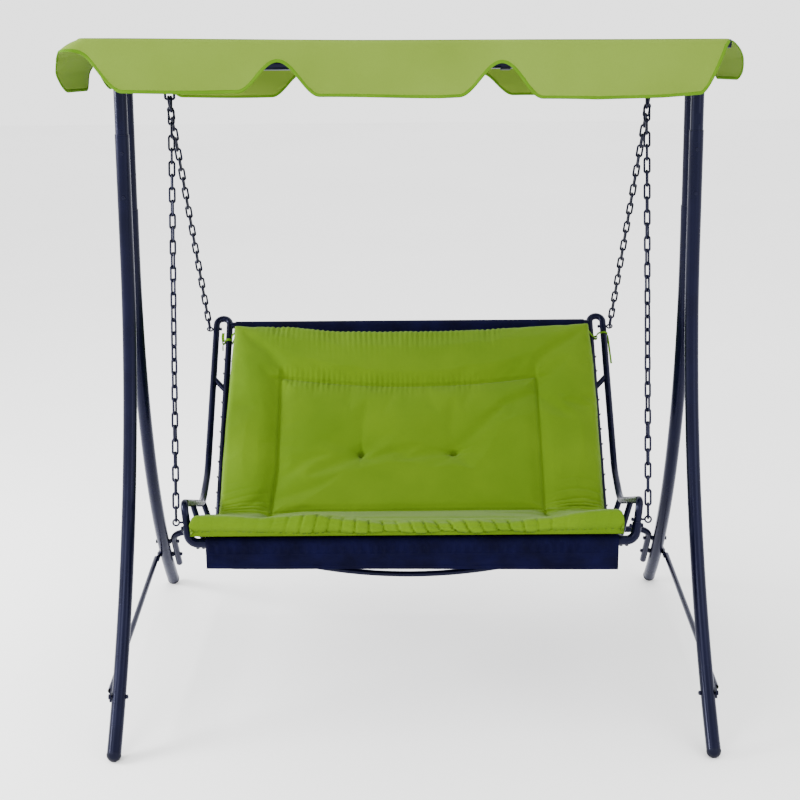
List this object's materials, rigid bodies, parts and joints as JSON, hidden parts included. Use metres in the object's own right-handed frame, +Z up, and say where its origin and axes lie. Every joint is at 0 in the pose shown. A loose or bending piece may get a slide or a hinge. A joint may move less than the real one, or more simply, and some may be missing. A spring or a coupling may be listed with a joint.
{
  "type": "canopy swing bench",
  "caption": "Two-seat garden swing: tubular stand with bowed legs, tilting fabric canopy, and a cushioned seat hung on chains.",
  "frame": {"origin": "on the ground, midway between the four feet", "axes": "+Z up; the front of the seat faces -Y; X runs along the bench"},
  "size_m": [1.6344, 1.181, 1.8342],
  "materials": {
    "navy_paint": "glossy navy powder coat",
    "dark_hardware": "dark coated steel",
    "dark_wire": "dark coated wire",
    "black_plastic": "moulded",
    "canopy_cloth": "woven polyester, bound edges",
    "cushion_cloth": "woven, padded",
    "sling_cloth": "woven polyester",
    "tie_ribbon": "ribbon"
  },
  "bodies": {
    "stand": {"beam_bolts": "dark_hardware", "brace_bolts": "dark_hardware", "crossbar_bolts": "dark_hardware", "crossbar_spacers": "black_plastic", "left_brace": "navy_paint", "left_chain_hook": "dark_hardware", "left_front_foot_cap": "black_plastic", "left_front_leg": "navy_paint", "left_rear_foot_cap": "black_plastic", "left_rear_leg": "navy_paint", "left_top_bend": "navy_paint", "leg_joint_screws": "dark_hardware", "rear_crossbar": "navy_paint", "right_brace": "navy_paint", "right_chain_hook": "dark_hardware", "right_front_foot_cap": "black_plastic", "right_front_leg": "navy_paint", "right_rear_foot_cap": "black_plastic", "right_rear_leg": "navy_paint", "right_top_bend": "navy_paint", "top_beam": "navy_paint"},
    "canopy": {"canopy_cover": "canopy_cloth", "canopy_front_tube": "navy_paint", "canopy_left_rafter": "navy_paint", "canopy_left_tube": "navy_paint", "canopy_rear_tube": "navy_paint", "canopy_right_rafter": "navy_paint", "canopy_right_tube": "navy_paint", "canopy_saddles": "black_plastic", "canopy_tube_caps": "black_plastic"},
    "left_knob": {"left_tilt_knob": "black_plastic"},
    "right_knob": {"right_tilt_knob": "black_plastic"},
    "seat": {"back_top_rail": "navy_paint", "cushion_ties": "tie_ribbon", "front_eye_bolts": "dark_hardware", "front_skirt": "sling_cloth", "left_arm_strut": "navy_paint", "left_arm_tube": "navy_paint", "left_back_link": "navy_paint", "left_fold_strut": "navy_paint", "left_front_chain": "dark_wire", "left_lacing": "dark_wire", "left_rear_chain": "dark_wire", "left_side_rail": "navy_paint", "left_snap_hook": "dark_hardware", "rear_eye_bolts": "dark_hardware", "right_arm_strut": "navy_paint", "right_arm_tube": "navy_paint", "right_back_link": "navy_paint", "right_fold_strut": "navy_paint", "right_front_chain": "dark_wire", "right_lacing": "dark_wire", "right_rear_chain": "dark_wire", "right_side_rail": "navy_paint", "right_snap_hook": "dark_hardware", "seat_cushion": "cushion_cloth", "seat_frame_bolts": "dark_hardware", "seat_front_rail": "navy_paint", "seat_sling": "sling_cloth", "seat_stretcher": "navy_paint"}
  },
  "joints": [
    {"name": "canopy_tilt", "type": "hinge", "parent": "stand", "child": "canopy", "pos_m": [0, 0, 1.737], "axis": [1, 0, 0], "range_deg": [-12, 14]},
    {"name": "left_knob_turn", "type": "hinge", "parent": "canopy", "child": "left_knob", "pos_m": [-0.255, 0.03, 1.737], "axis": [0, 1, 0], "continuous": true},
    {"name": "right_knob_turn", "type": "hinge", "parent": "canopy", "child": "right_knob", "pos_m": [0.255, 0.03, 1.737], "axis": [0, 1, 0], "continuous": true},
    {"name": "seat_swing", "type": "hinge", "parent": "stand", "child": "seat", "pos_m": [0, 0, 1.645], "axis": [1, 0, 0], "range_deg": [-20, 20]}
  ]
}
